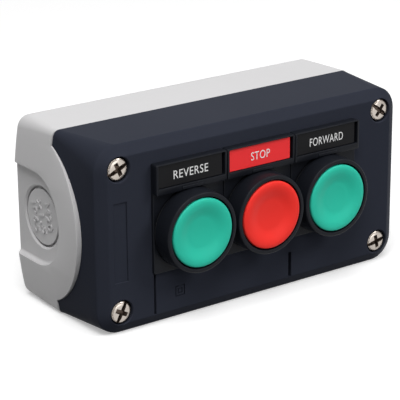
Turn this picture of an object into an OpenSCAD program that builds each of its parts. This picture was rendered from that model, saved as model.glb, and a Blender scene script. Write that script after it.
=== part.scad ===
// Three-button control station: reverse, stop and forward heads on a surface-mounted box.
// The box stands on its long side: X runs along it, +Z is up and the buttons face -Y.
// The origin is the middle of the flat back, which goes against a wall. A depth is a distance
// from that wall towards the buttons, so a point at depth d lies at y = -d.

/* [Box] */
// Length over the crowned ends
box_l = 138; // [136:0.5:160]
// Height as it lies, which is its width when it hangs upright
box_h = 68; // [66:0.5:80]
// How far each end swells out beyond its corners
end_crown = 3.4; // [2:0.1:4]
// Wall thickness of base and cover
wall_t = 2.6; // [2.4:0.1:2.8]
// Depth of the base, from the wall to the joint
joint_d = 25.2; // [23:0.2:27]
// Depth of the cover, from the joint to its flat front
cover_depth = 28.8; // [27:0.2:36]
// Radius of the long back edges
back_edge_r = 2.5; // [1:0.5:4]
// Radius of the back edges at the ends
end_edge_r = 4; // [2:0.5:5]
// Radius of the base's corners, seen from the front
base_corner_r = 2.6; // [1:0.2:3]

/* [End arches and cable entries] */
// Distance of the arch's sides from the long edges
arch_from_edge = 2.7; // [2.2:0.1:5]
// Distance of the arch's crown behind the flat front of the cover
arch_from_front = 10.1; // [9:0.1:12]
// Gap between the cover and the arch
arch_gap = 0.15; // [0.1:0.05:0.3]
// Radius of the recess round the cable entry
recess_r = 17.3; // [15:0.1:19]
// Sink of the recess below the crown of the end
recess_sink = 3; // [2.5:0.1:3.4]
// Depth of the recess centre from the wall
recess_d = 15; // [13:0.5:17]
// Radius of the closed cable entry, for a 20 mm gland thread
entry_r = 10.25; // [8:0.05:12.5]
// Depth of the cable entry's centre from the wall
entry_d = 16; // [15:0.5:17]
// Width of the thin groove round the cable entry
entry_groove_w = 0.7; // [0.5:0.1:1]
// Plastic left under that groove
entry_skin_t = 0.8; // [0.6:0.1:1.2]

/* [Wall fixing] */
// Distance of a fixing hole from the crown of the end
fix_from_end = 20; // [19.5:0.25:21]
// Distance of a fixing hole from the long edge
fix_from_edge = 7; // [6.5:0.25:9]
// Radius of a fixing hole
fix_hole_r = 2.15; // [1.6:0.05:2.5]
// Radius of the boss round a fixing hole
fix_boss_r = 4; // [3.5:0.1:4.2]
// Height of that boss above the back wall
fix_boss_h = 3; // [2:0.5:4]

/* [Cover] */
// Width of the front bevel along the long edges
bevel_z = 3.8; // [2.5:0.1:5]
// Width of the front bevel at the ends
bevel_x = 4.05; // [2.5:0.05:5]
// Depth of the front bevel
bevel_d = 2.6; // [1.5:0.1:3]
// How far the cover's ends draw in from the joint to the bevel
end_draft = 2.15; // [1:0.05:3]
// Step from the base's end back to the cover's
cover_step = 0.4; // [0.2:0.1:0.6]
// Corner radius behind the bevel
cover_corner_r = 9; // [6:0.5:10]
// Corner radius of the flat front
front_corner_r = 5.1; // [4:0.1:6]
// Thickness of the locating tongue inside the joint
tongue_t = 1.6; // [1.2:0.1:2]
// Reach of the tongue into the base
tongue_l = 3; // [2:0.5:4]
// Gap between the tongue and the base
tongue_gap = 0.2; // [0.1:0.05:0.4]

/* [Cover screws] */
// Distance of a cover screw from the crown of the end
screw_from_end = 11.25; // [10.5:0.25:12]
// Distance of a cover screw from the long edge
screw_from_edge = 8.1; // [7.6:0.1:8.5]
// Radius of the screw's shank
screw_r = 2; // [1.5:0.1:2.2]
// Length of the shank below the head
screw_l = 38; // [30:1:40]
// Radius of the screw's head
head_r = 4.1; // [3.5:0.1:4.2]
// Height of the head
head_h = 2.4; // [1.8:0.1:2.6]
// How far the head lies below the front
head_sink = 0.2; // [0:0.1:0.5]
// Gap round the head in its counterbore
head_gap = 0.4; // [0.2:0.1:0.5]
// Thickness of the sealing ring under the head
washer_t = 0.6; // [0.4:0.1:1]
// Radius of the columns in the cover
column_r = 5.7; // [5.2:0.1:6]
// Radius of the bosses in the base
boss_r = 4.4; // [4:0.1:4.6]
// Radial clearance of a screw in its hole
screw_gap = 0.05; // [0.03:0.01:0.1]

/* [Joint seal] */
// Width of the seal
seal_w = 1.2; // [0.8:0.1:1.3]
// Height of the seal
seal_t = 1.2; // [0.8:0.1:2]
// Clearance of the seal in its groove
seal_gap = 0.05; // [0.02:0.01:0.1]

/* [Button heads] */
// Spacing of the buttons
button_pitch = 30; // [30:0.5:33]
// How far a button travels when it is pressed
travel = 4.3; // [3:0.1:4.8]
// Radius of the threaded tube behind a head
tube_r = 11; // [10.6:0.05:11]
// Gap round that tube in the panel
tube_gap = 0.25; // [0.1:0.05:0.4]
// Reach of the tube behind the front of the cover
tube_l = 19.4; // [16:0.2:20]
// Radius of the bezel's front rim
rim_r = 14.5; // [14:0.1:14.6]
// Radius of the bezel where it meets its gasket
bezel_foot_r = 14.8; // [14.4:0.1:14.9]
// Height of the bezel's rim above the front of the cover
rim_h = 9.4; // [8.5:0.1:10]
// Bevel round the rim
rim_bevel = 1; // [0.4:0.1:1.2]
// Radius of the cap
cap_r = 12.7; // [12:0.1:12.8]
// Gap between cap and bezel
cap_gap = 0.3; // [0.25:0.05:0.4]
// Height of the cap's raised edge above the front of the cover
cap_h = 10; // [9.4:0.1:11]
// Thickness of the cap at its edge
cap_t = 2.2; // [1.8:0.1:2.4]
// Depth of the dish in the cap
dish_d = 1.1; // [0.6:0.1:1.2]
// Width of the cap's raised edge
cap_edge_w = 2.2; // [1.5:0.1:3]
// Outer radius of the sliding sleeve
sleeve_r = 9.1; // [8.8:0.05:9.2]
// Wall of the sleeve
sleeve_t = 1.7; // [1.2:0.1:2]
// Thickness of the web that closes the sleeve
web_t = 2; // [1.5:0.1:2.5]
// Distance of the web's back behind the front of the cover
web_back = 8; // [7:0.5:9]
// Radius of the stem that works the contacts
stem_r = 4; // [3:0.1:4.2]
// Running clearance of the sleeve and of the plungers
run_gap = 0.05; // [0.02:0.01:0.1]
// Thickness of the bezel's rear flange
flange_t = 1.5; // [1:0.1:2]
// Gap round the stem in that flange
stem_gap = 0.5; // [0.3:0.1:0.8]
// Thickness of the flange gasket
gasket_t = 0.6; // [0.4:0.1:1]
// Thickness of the lip seal
lip_t = 1.2; // [0.8:0.1:1.4]
// Outer radius of the lip seal
lip_r = 10.8; // [10.4:0.1:11.2]
// Gap between the lip seal and the sleeve
lip_gap = 0.3; // [0.2:0.05:0.4]
// Gap between a pressed cap and the floor under it
stop_gap = 0.3; // [0.2:0.05:0.5]
// Width of the fixing nut across its flats
nut_flats = 27; // [26:0.5:29]
// Thickness of the fixing nut
nut_t = 4; // [3:0.5:5]

/* [Legend holders] */
// Width of a holder
holder_w = 29.8; // [29.6:0.1:29.9]
// Reach of a holder below the button's centre
holder_below = 14.6; // [14.6:0.1:15]
// Reach of a holder above the button's centre
holder_above = 25.5; // [25:0.1:26]
// Thickness of the holder's plate
plate_t = 1; // [0.8:0.1:1.2]
// Height of the raised frame above the front of the cover
frame_h = 3.4; // [3:0.1:3.8]
// Height of the raised frame's lower edge above the button's centre
frame_from = 14.5; // [14:0.1:15]
// Length of a legend plate
legend_l = 27; // [25:0.1:27.4]
// Height of a legend plate
legend_h = 8; // [7:0.1:8.2]
// Height of its middle above the button's centre
legend_z = 20.9; // [20.8:0.1:21]
// How far its face lies below the frame
legend_sink = 0.6; // [0.3:0.1:1]
// Length left free beside a legend plate
legend_play = 1; // [0.4:0.1:1.2]
// Gap above and below a legend plate
legend_gap = 0.1; // [0.05:0.05:0.15]

/* [Contact blocks] */
// Width of a block
block_w = 11; // [10.4:0.1:12]
// Length of a block across the box
block_l = 40; // [39.6:0.2:42]
// Depth of the rails that carry the blocks
block_seat_d = 5; // [4:0.2:6]
// Height of a block above its rails
block_h = 24; // [23.6:0.2:25]
// Thickness of a block's side walls
block_wall_t = 1.8; // [1.6:0.1:1.9]
// Thickness of a block's end walls
block_end_t = 1.6; // [1.2:0.1:1.8]
// Thickness of a block's top
block_top_t = 3; // [2.5:0.1:3.2]
// Thickness of the plate that closes a block
floor_t = 2; // [1.5:0.1:2.2]
// Radius of a plunger
plunger_r = 2.9; // [2.6:0.1:3]
// Radius of the flange that keeps a plunger in
plunger_flange_r = 3.35; // [3.2:0.05:3.4]
// Radius of a plunger's thin stem
pin_r = 1.5; // [1.2:0.1:1.6]
// Gap between stem end, plunger and block top when they are at their closest
push_gap = 0.3; // [0.2:0.1:0.5]
// Travel of the bridge that closes the reverse and forward contacts
close_travel = 2.6; // [2:0.1:2.8]
// Travel of the bridge that opens the stop contact
open_travel = 2.8; // [2:0.1:3]
// Gap left between contacts that touch
contact_gap = 0.1; // [0.05:0.05:0.2]
// Depth of the closing contact's fixed tips
close_tip_d = 14.9; // [14.6:0.1:15.1]
// Depth of the opening contact's fixed tips
open_tip_d = 17; // [16.8:0.1:17.2]
// Reach of a contact bridge past the middle of its tips
bridge_past_tips = 2; // [1.8:0.1:2.2]
// Width of a contact bridge
bridge_w = 5.6; // [5:0.1:6]
// Thickness of a contact bridge
bridge_t = 0.8; // [0.6:0.1:1]
// Radius of a contact tip
tip_r = 1.5; // [1:0.1:1.7]
// Height of a contact tip
tip_t = 0.6; // [0.4:0.1:0.8]
// Distance of the tips from the ends of a block
tip_from_end = 11; // [10.8:0.1:11.4]
// Thickness of a terminal
terminal_t = 1; // [0.8:0.1:1.1]
// Width of a terminal
terminal_w = 5; // [4.4:0.1:5.6]
// Distance of the terminal screws from the ends of a block
terminal_from_end = 4.6; // [4.5:0.1:4.7]
// Height of the terminals' shelf in front of the opening contact's fixed tips
shelf_from_tips = 3; // [2.6:0.1:3.4]
// Radius of a terminal screw's head
terminal_head_r = 3; // [2.4:0.1:3]
// Height of that head
terminal_head_h = 2.4; // [1.8:0.1:2.6]
// Radius of a terminal screw's shank
terminal_screw_r = 1.7; // [1.4:0.05:1.75]
// Length of that shank
terminal_screw_l = 7; // [5:0.5:9]

/* [Springs] */
// Wire radius of a return spring
return_wire_r = 0.55; // [0.4:0.05:0.6]
// Mean radius of a return spring
return_mean_r = 7.3; // [6.8:0.1:7.8]
// Turns of a return spring
return_turns = 5; // [4:1:5]
// Wire radius of a contact spring
contact_wire_r = 0.25; // [0.2:0.05:0.3]
// Mean radius of a contact spring
contact_mean_r = 2.15; // [2.1:0.05:2.3]
// Turns of a contact spring
contact_turns = 5; // [4:1:6]

/* [Hidden] */
BUTTONS = ["reverse", "stop", "forward"];
PIECES = ["head_bezel", "button_cap", "push_sleeve", "return_spring", "lip_seal", "flange_gasket",
          "legend_holder", "legend_plate", "fixing_nut", "contact_housing", "contact_floor",
          "contact_plunger", "contact_bridge", "contact_spring", "contact_terminals",
          "terminal_screws"];
$fn = 64;

over = 1;
seat_gap = 0.05;

// Main faces of the box
half_l = box_l / 2;
half_h = box_h / 2;
box_d = joint_d + cover_depth;
arch_r = half_h - arch_from_edge;
arch_top_d = box_d - arch_from_front;
fix_x = half_l - fix_from_end;
fix_z = half_h - fix_from_edge;
inner_x = half_l - end_crown - wall_t;
inner_z = half_h - wall_t;
panel_d = box_d - wall_t;
arch_d = arch_top_d - arch_r;
cover_x = half_l - cover_step;
bevel_back_x = cover_x - end_draft;
flat_x = bevel_back_x - bevel_x;
flat_z = half_h - bevel_z;
bevel_back_d = box_d - bevel_d;
cavity_corner_r = 6;
base_cavity_corner_r = 1.5;

// Places of the screws
screw_x = half_l - screw_from_end;
screw_z = half_h - screw_from_edge;
head_top_d = box_d - head_sink;
head_seat_d = head_top_d - head_h;
washer_seat_d = head_seat_d - washer_t;
screw_end_d = head_seat_d - screw_l;
column_hole_r = screw_r + 0.5 * head_gap;
washer_r = head_r - 0.5 * head_gap;
screw_drive_w = 1.2;
screw_drive_depth = 1.1;
screw_cross_w = 1.5;
screw_cross_l = 4.6;

// Small features moulded into the cover's front
left_slot_from_button = 14;
left_slot_x = -button_pitch - left_slot_from_button;
left_slot_w = 0.9;
left_slot_top_z = -holder_below;
right_slot_from_middle = 0.6;
right_slot_x = 0.5 * button_pitch + right_slot_from_middle;
right_slot_w = 1.4;
right_slot_below_holder = 5.9;
right_slot_top_z = -holder_below - right_slot_below_holder;
slot_bottom_z = -flat_z;
left_slot_depth = 1.2;
right_slot_depth = 1.6;
mark_from_slot = 10.6;
mark_from_flat = 6.8;
mark_x = left_slot_x + mark_from_slot;
mark_z = mark_from_flat - flat_z;
mark_w = 4;
mark_line = 0.4;
mark_depth = 0.3;
pocket_from_flat = 4.8;
pocket_x = pocket_from_flat - flat_x;
pocket_w = 5.4;
pocket_from_z = -14.7;
pocket_to_z = 14;
pocket_depth = 0.25;

// Depths along a head
plate_top_d = box_d + plate_t;
gasket_top_d = plate_top_d + gasket_t;
rim_d = box_d + rim_h;
cap_top_d = box_d + cap_h;
cap_back_d = cap_top_d - cap_t;
bezel_floor_d = cap_back_d - travel - stop_gap;
lip_seat_d = bezel_floor_d - lip_t;
web_d = box_d - web_back;
tube_end_d = box_d - tube_l;
flange_d = tube_end_d + flange_t;
bore_r = sleeve_r + run_gap;
stem_hole_r = stem_r + stem_gap;
panel_hole_r = tube_r + tube_gap;
cavity_r = cap_r + cap_gap;
gasket_set_back = 0.2;
gasket_r = rim_r - gasket_set_back;

// Depths along a contact block
block_top_d = block_seat_d + block_h;
block_cavity_d = block_top_d - block_top_t;
block_floor_d = block_seat_d + floor_t;
terminal_z = 0.5 * block_l - terminal_from_end;
tip_z = 0.5 * block_l - tip_from_end;
bridge_l = 2 * (tip_z + bridge_past_tips);
shelf_d = open_tip_d + shelf_from_tips;
block_cavity_w = block_w - 2 * block_wall_t;
block_cavity_l = block_l - 2 * block_end_t;
plunger_top_d = block_top_d + travel + push_gap;
stem_end_d = plunger_top_d + push_gap;
plunger_flange_t = 1.2;
plunger_flange_d = block_cavity_d - plunger_flange_t - contact_gap;
plunger_chamfer = 0.4;
close_seat_d = 24;
collar_r = 2.3;
collar_t = 0.8;
bridge_hole_gap = 0.2;
bridge_hole_r = pin_r + bridge_hole_gap;
close_bridge_d = close_tip_d + close_travel + contact_gap + tip_t;
open_bridge_d = open_tip_d - contact_gap - tip_t - bridge_t;
open_seat_d = open_bridge_d + bridge_t - open_travel + travel + contact_gap;
pin_end_gap = 0.4;
pin_end_d = block_floor_d + travel + pin_end_gap;
riser_from_screw = 2.7;
riser_z = terminal_z - riser_from_screw;
shelf_gap = 0.1;
shelf_from_z = riser_z + terminal_t + shelf_gap;
plate_from_z = tip_z - tip_r - contact_gap;
terminal_head_gap = 0.4;
window_h = 4;
rail_w = 5;
rail_z = 14;
latch_t = 1.6;
latch_h = 10;
latch_w = 6;
latch_gap = 0.2;

// Depth band of a flat piece: draws a front view from depth d0 forward to depth d1
module layer(d0, d1) {
    rotate([90, 0, 0]) translate([0, 0, d0]) linear_extrude(d1 - d0) children();
}

// Turned piece on the button's axis: its outline is given as radius and depth
module turned() {
    rotate([90, 0, 0]) rotate_extrude() children();
}

// Side view, given as depth and height, extruded along X about the middle
module along_x(l) {
    rotate([90, 0, 90]) linear_extrude(l, center = true) mirror([1, 0]) children();
}

// Plan view, given as x and depth, extruded along Z about the middle
module along_z(h) {
    linear_extrude(h, center = true) mirror([0, 1]) children();
}

// Repeats a piece at the four corners by mirroring it
module four_corners() {
    for (sx = [0, 1]) for (sz = [0, 1]) mirror([sx, 0, 0]) mirror([0, 0, sz]) children();
}

// Repeats a piece at the other end or side
module both(direction) {
    for (s = [0, 1]) mirror(s * direction) children();
}

// Rectangle with round corners
module round_rect(w, h, r) {
    square([w - 2 * r, h], center = true);
    square([w, h - 2 * r], center = true);
    for (sx = [-1, 1]) for (sz = [-1, 1])
        translate([sx * (0.5 * w - r), sz * (0.5 * h - r)]) circle(r);
}

// Flat ring
module ring(outer_r, inner_r) {
    difference() {
        circle(outer_r);
        circle(inner_r);
    }
}

// Radius of the arc that swells by end_crown over the height of the box
crown_r = (end_crown * end_crown + half_h * half_h) / (2 * end_crown);

// Half length of an outline with crowned ends at height z
function crown_x(reach, z) = reach - crown_r + sqrt(crown_r * crown_r - z * z);

// Front view with crowned ends that reach out to +-reach, and round corners. The corner's arc
// starts a little outside the crown, so that the two cross cleanly.
module crowned_outline(reach, corner_r) {
    corner_start_share = 0.1;
    corner_x = crown_x(reach, half_h - corner_r) + corner_start_share * corner_r;
    intersection() {
        crowned_ends(reach);
        union() {
            square([2 * reach, box_h - 2 * corner_r], center = true);
            round_rect(2 * corner_x, box_h, corner_r);
        }
    }
}

// The two large circles whose overlap gives the crowned ends
module crowned_ends(reach) {
    intersection() {
        translate([reach - crown_r, 0]) circle(crown_r, $fn = 256);
        translate([crown_r - reach, 0]) circle(crown_r, $fn = 256);
    }
}

// Side view of the base: a box with round back edges, and the arch that its ends raise
module base_side() {
    translate([back_edge_r, -half_h]) square([joint_d - back_edge_r, box_h]);
    translate([0, back_edge_r - half_h]) square([joint_d, box_h - 2 * back_edge_r]);
    for (s = [-1, 1]) translate([back_edge_r, s * (half_h - back_edge_r)]) circle(back_edge_r);
    translate([arch_d, 0]) circle(arch_r, $fn = 128);
}

// Plan view of the base with round back edges at its ends
module base_plan() {
    translate([-half_l, end_edge_r]) square([box_l, arch_top_d + over]);
    translate([end_edge_r - half_l, 0]) square([box_l - 2 * end_edge_r, end_edge_r]);
    for (s = [-1, 1]) translate([s * (half_l - end_edge_r), end_edge_r]) circle(end_edge_r);
}

// Cable entry: a recess open to the wall and a thin groove round a disc that knocks out
module cable_entry() {
    floor_x = half_l - recess_sink;
    translate([floor_x + 0.5 * half_l, 0, 0]) along_x(half_l) {
        translate([recess_d, 0]) circle(recess_r);
        translate([-over, -recess_r]) square([recess_d + over, 2 * recess_r]);
    }
    groove_floor_x = inner_x + entry_skin_t;
    translate([groove_floor_x + 0.5 * half_l, 0, 0]) along_x(half_l)
        translate([entry_d, 0]) ring(entry_r + entry_groove_w, entry_r);
}

// Rails that carry the contact blocks, with posts that hold each block endways
module block_rails() {
    rails_w = 2 * button_pitch + block_w + rail_w;
    layer(wall_t - seat_gap, block_seat_d) for (s = [-1, 1])
        translate([0, s * rail_z]) square([rails_w, rail_w], center = true);
    latch_z = 0.5 * block_l + latch_gap + 0.5 * latch_t;
    for (x = button_xs) for (s = [-1, 1])
        layer(wall_t - seat_gap, block_seat_d + latch_h)
            translate([x, s * latch_z]) square([latch_w, latch_t], center = true);
}

button_xs = [-button_pitch, 0, button_pitch];

module base_box() {
    color("#dcdcd8") difference() {
        union() {
            difference() {
                intersection() {
                    layer(0, arch_top_d + over) crowned_outline(half_l, base_corner_r);
                    along_x(box_l + over) base_side();
                    along_z(box_h + over) base_plan();
                }
                layer(wall_t, arch_top_d + 2 * over)
                    round_rect(2 * inner_x, 2 * inner_z, base_cavity_corner_r);
                both([1, 0, 0]) cable_entry();
            }
            four_corners() {
                layer(wall_t - seat_gap, joint_d) translate([screw_x, screw_z]) circle(boss_r);
                layer(wall_t - seat_gap, wall_t + fix_boss_h)
                    translate([fix_x, fix_z]) circle(fix_boss_r);
            }
            block_rails();
        }
        four_corners() {
            layer(screw_end_d - over, joint_d + over)
                translate([screw_x, screw_z]) circle(screw_r + screw_gap);
            layer(-over, wall_t + fix_boss_h + over)
                translate([fix_x, fix_z]) circle(fix_hole_r);
        }
    }
}

// Outside of the cover: crowned, drafted ends and one bevel all round the front
module cover_form() {
    difference() {
        intersection() {
            layer(joint_d, box_d) crowned_outline(cover_x, base_corner_r);
            along_z(box_h + over) both_sides_x([[0, joint_d - over], [cover_x, joint_d - over],
                [cover_x, joint_d], [bevel_back_x, bevel_back_d], [flat_x, box_d], [0, box_d]]);
            along_x(box_l + over) both_sides_z([[joint_d - over, 0], [joint_d - over, half_h],
                [bevel_back_d, half_h], [box_d, flat_z], [box_d, 0]]);
        }
        four_corners() {
            front_corner_cut();
            side_corner_cut();
        }
    }
}

// Plan outline given for positive x, drawn on both sides
module both_sides_x(points) {
    polygon(points);
    mirror([1, 0]) polygon(points);
}

// Side outline given for positive z, drawn on both sides
module both_sides_z(points) {
    polygon(points);
    mirror([0, 1]) polygon(points);
}

// Takes a corner off the bevelled front along a cone
module front_corner_cut() {
    cut_w = cover_corner_r + bevel_x;
    rotate([90, 0, 0])
        translate([bevel_back_x - cover_corner_r, half_h - cover_corner_r, bevel_back_d])
            difference() {
                cube([cut_w, cut_w, bevel_d + over]);
                cylinder(h = bevel_d, r1 = cover_corner_r, r2 = front_corner_r);
            }
}

// Takes a corner off the cover's side along a leaning cylinder, so that the large radius at
// the front runs out into the base's small one at the joint
module side_corner_cut() {
    side_l = bevel_back_d - joint_d;
    diagonal_share = 1 - sqrt(0.5);
    lean = atan((cover_corner_r - base_corner_r) * diagonal_share / side_l);
    cut_w = 2 * cover_corner_r;
    rotate([90, 0, 0])
        translate([bevel_back_x - cover_corner_r, half_h - cover_corner_r, bevel_back_d])
            rotate([180, 0, 0]) mirror([0, 1, 0]) rotate([-lean, lean, 0])
                translate([0, 0, -over * tan(lean)]) difference() {
                    cube([cut_w, cut_w, side_l + cut_w]);
                    translate([0, 0, -over]) cylinder(h = side_l + cut_w + 2 * over,
                                                      r = cover_corner_r);
                }
}

// Tongue inside the joint, and the flange that backs each arch
module cover_tongue() {
    difference() {
        union() {
            layer(joint_d - tongue_l, joint_d + tongue_l) difference() {
                round_rect(2 * (inner_x - tongue_gap), 2 * (inner_z - tongue_gap),
                           base_cavity_corner_r);
                round_rect(2 * (inner_x - tongue_gap - tongue_t),
                           2 * (inner_z - tongue_gap - tongue_t), base_cavity_corner_r);
            }
            layer(joint_d, joint_d + tongue_l) difference() {
                round_rect(2 * (inner_x + seat_gap), 2 * (inner_z + seat_gap),
                           base_cavity_corner_r);
                round_rect(2 * (inner_x - tongue_t), 2 * (inner_z - tongue_t),
                           base_cavity_corner_r);
            }
            arch_flange();
        }
        four_corners() layer(joint_d - tongue_l - over, joint_d)
            translate([screw_x, screw_z]) circle(boss_r + arch_gap);
        both([1, 0, 0]) base_arch_clear(0);
    }
}

// Ring behind each arch that closes the gap from inside
module arch_flange() {
    flange_x = inner_x - tongue_gap - tongue_t;
    intersection() {
        both([1, 0, 0]) union() {
            translate([flange_x + 0.5 * tongue_t, 0, 0]) along_x(tongue_t)
                translate([arch_d, 0]) ring(arch_r + tongue_t, arch_r - tongue_t);
            translate([flange_x + 0.5 * (tongue_t + tongue_gap), 0, 0])
                along_x(tongue_t + tongue_gap + seat_gap)
                    translate([arch_d, 0]) ring(arch_r + tongue_t, arch_r + arch_gap);
        }
        layer(joint_d, arch_top_d + 2 * tongue_t) square([box_l, 2 * inner_z], center = true);
    }
}

// Space that the base's arch takes up at one end, grown by gap
module base_arch_clear(gap) {
    end_l = half_l;
    translate([inner_x - gap + 0.5 * end_l, 0, 0]) along_x(end_l)
        translate([arch_d, 0]) circle(arch_r + gap, $fn = 128);
}

// The seal in the joint, or with a gap its groove
module seal_form(gap) {
    seal_x = inner_x + 0.5 * (wall_t + seal_w);
    seal_z = inner_z + 0.5 * (wall_t + seal_w);
    difference() {
        layer(joint_d - over * sign(gap), joint_d + seal_t + gap) difference() {
            round_rect(2 * (seal_x + gap), 2 * (seal_z + gap), base_corner_r);
            round_rect(2 * (seal_x - seal_w - gap), 2 * (seal_z - seal_w - gap), seal_w);
        }
        both([1, 0, 0]) base_arch_clear(0);
    }
    both([1, 0, 0]) intersection() {
        translate([seal_x - 0.5 * seal_w, 0, 0]) along_x(seal_w + 2 * gap)
            translate([arch_d, 0]) ring(arch_r + seal_t + gap, arch_r);
        layer(joint_d, arch_top_d + 2 * seal_t) square([box_l, box_h], center = true);
    }
}

// Slots, a maker's pocket left bare and a small engraved double square in the front
module front_marks() {
    layer(box_d - left_slot_depth, box_d + over)
        translate([left_slot_x - 0.5 * left_slot_w, slot_bottom_z])
            square([left_slot_w, left_slot_top_z - slot_bottom_z]);
    layer(box_d - right_slot_depth, box_d + over)
        translate([right_slot_x - 0.5 * right_slot_w, slot_bottom_z])
            square([right_slot_w, right_slot_top_z - slot_bottom_z]);
    layer(box_d - pocket_depth, box_d + over)
        translate([pocket_x - 0.5 * pocket_w, pocket_from_z])
            square([pocket_w, pocket_to_z - pocket_from_z]);
    layer(box_d - mark_depth, box_d + over) translate([mark_x, mark_z])
        for (w = [mark_w, 0.5 * mark_w]) difference() {
            square(w, center = true);
            square(w - 2 * mark_line, center = true);
        }
}

module cover() {
    color("#3a3a40") difference() {
        union() {
            difference() {
                cover_form();
                layer(joint_d - over, panel_d)
                    round_rect(2 * inner_x, 2 * inner_z, cavity_corner_r);
                both([1, 0, 0]) base_arch_clear(arch_gap);
            }
            four_corners() layer(joint_d, panel_d + seat_gap) translate([screw_x, screw_z])
                circle(column_r);
            cover_tongue();
        }
        both([1, 0, 0]) base_arch_clear(0);
        seal_form(seal_gap);
        four_corners() {
            layer(joint_d - over, box_d + over)
                translate([screw_x, screw_z]) circle(column_hole_r);
            layer(washer_seat_d, box_d + over)
                translate([screw_x, screw_z]) circle(head_r + head_gap);
        }
        for (x = button_xs) layer(panel_d - over, box_d + over)
            translate([x, 0]) circle(panel_hole_r);
        front_marks();
    }
}

module cover_seal() {
    color("#202022") seal_form(0);
}

module cover_screws() {
    color("#c8c4bc") four_corners() translate([screw_x, 0, screw_z]) difference() {
        union() {
            layer(screw_end_d, head_seat_d) circle(screw_r);
            layer(head_seat_d, head_top_d) circle(head_r);
        }
        layer(head_top_d - screw_drive_depth, head_top_d + over) {
            square([2 * head_r + over, screw_drive_w], center = true);
            square([screw_cross_w, screw_cross_l], center = true);
        }
    }
}

module screw_sealing_rings() {
    color("#202022") four_corners() layer(washer_seat_d, head_seat_d)
        translate([screw_x, screw_z]) ring(washer_r, column_hole_r);
}

// Bezel: rim, threaded tube and the bore in which the sleeve slides
module head_bezel() {
    rim_in = cavity_r + 0.3 * rim_bevel;
    color("#2c2b30") turned() polygon([
        [stem_hole_r, tube_end_d], [tube_r, tube_end_d], [tube_r, gasket_top_d],
        [bezel_foot_r, gasket_top_d], [bezel_foot_r, gasket_top_d + rim_bevel],
        [rim_r, gasket_top_d + 2 * rim_bevel], [rim_r, rim_d - rim_bevel],
        [rim_r - rim_bevel, rim_d], [rim_in, rim_d], [cavity_r, rim_d - rim_bevel],
        [cavity_r, bezel_floor_d], [lip_r + seat_gap, bezel_floor_d],
        [lip_r + seat_gap, lip_seat_d], [bore_r, lip_seat_d], [bore_r, flange_d],
        [stem_hole_r, flange_d]]);
}

// Cap: a disc with a raised rounded edge and a shallow dish
module button_cap(colour) {
    edge_in = cap_r - cap_edge_w;
    soft = 0.3 * cap_t;
    color(colour) turned() polygon([
        [0, cap_back_d], [cap_r - 0.5 * soft, cap_back_d], [cap_r, cap_back_d + 0.5 * soft],
        [cap_r, cap_top_d - soft], [cap_r - 0.3 * soft, cap_top_d - 0.3 * soft],
        [cap_r - soft, cap_top_d], [edge_in + soft, cap_top_d],
        [edge_in, cap_top_d - 0.4 * dish_d], [0.7 * edge_in, cap_top_d - 0.8 * dish_d],
        [0, cap_top_d - dish_d]]);
}

module push_sleeve() {
    color("#e4e4e0") turned() polygon([
        [0, stem_end_d], [stem_r, stem_end_d], [stem_r, web_d], [sleeve_r, web_d],
        [sleeve_r, cap_back_d], [sleeve_r - sleeve_t, cap_back_d],
        [sleeve_r - sleeve_t, web_d + web_t], [0, web_d + web_t]]);
}

module lip_seal() {
    color("#202022") layer(lip_seat_d, bezel_floor_d) ring(lip_r, sleeve_r + lip_gap);
}

module flange_gasket() {
    color("#202022") layer(plate_top_d, gasket_top_d) ring(gasket_r, panel_hole_r + seat_gap);
}

module fixing_nut() {
    color("#3c3c40") layer(panel_d - nut_t, panel_d) difference() {
        rotate(30) circle(nut_flats / sqrt(3), $fn = 6);
        circle(tube_r + run_gap);
    }
}

// Holder: a plate under the bezel and a raised frame for the legend plate
module legend_holder() {
    pocket_l = legend_l + legend_play;
    color("#2a2a2e") difference() {
        union() {
            layer(box_d, plate_top_d) translate([-0.5 * holder_w, -holder_below])
                square([holder_w, holder_below + holder_above]);
            layer(plate_top_d - seat_gap, box_d + frame_h)
                translate([-0.5 * holder_w, frame_from])
                    square([holder_w, holder_above - frame_from]);
        }
        layer(box_d - over, plate_top_d + over) circle(panel_hole_r);
        layer(plate_top_d, box_d + frame_h + over) circle(bezel_foot_r + cap_gap);
        layer(plate_top_d, box_d + frame_h + over) translate([0, legend_z])
            square([pocket_l, legend_h + 2 * legend_gap], center = true);
    }
}

module legend_plate(colour) {
    color(colour) layer(plate_top_d, box_d + frame_h - legend_sink)
        translate([-0.4 * legend_play, legend_z]) square([legend_l, legend_h], center = true);
}

// Contact housing: open towards the wall, with shelves for the terminals
module contact_housing() {
    shelf_l = 0.5 * block_cavity_l - shelf_from_z;
    color("#1f4f66") difference() {
        union() {
            difference() {
                layer(block_seat_d, block_top_d) square([block_w, block_l], center = true);
                layer(block_seat_d - over, block_cavity_d)
                    square([block_cavity_w, block_cavity_l], center = true);
            }
            for (s = [-1, 1]) layer(block_floor_d, shelf_d)
                translate([0, s * (shelf_from_z + 0.5 * (shelf_l + seat_gap))])
                    square([block_cavity_w + 2 * seat_gap, shelf_l + seat_gap], center = true);
        }
        layer(block_cavity_d - over, block_top_d + over) circle(plunger_r + run_gap);
        for (s = [-1, 1]) {
            layer(block_cavity_d - over, block_top_d + over)
                translate([0, s * terminal_z]) circle(terminal_head_r + terminal_head_gap);
            layer(shelf_d - terminal_screw_l - contact_gap, shelf_d + over)
                translate([0, s * terminal_z]) circle(terminal_screw_r + screw_gap);
            layer(shelf_d + terminal_t, shelf_d + terminal_t + window_h)
                translate([0, s * 0.5 * block_l])
                    square([terminal_w, 4 * block_end_t], center = true);
        }
    }
}

// Plate that closes a housing from the wall side and carries its spring
module contact_floor() {
    color("#16394a") layer(block_seat_d, block_floor_d)
        square([block_cavity_w - 2 * seat_gap, block_cavity_l - 2 * seat_gap], center = true);
}

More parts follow.
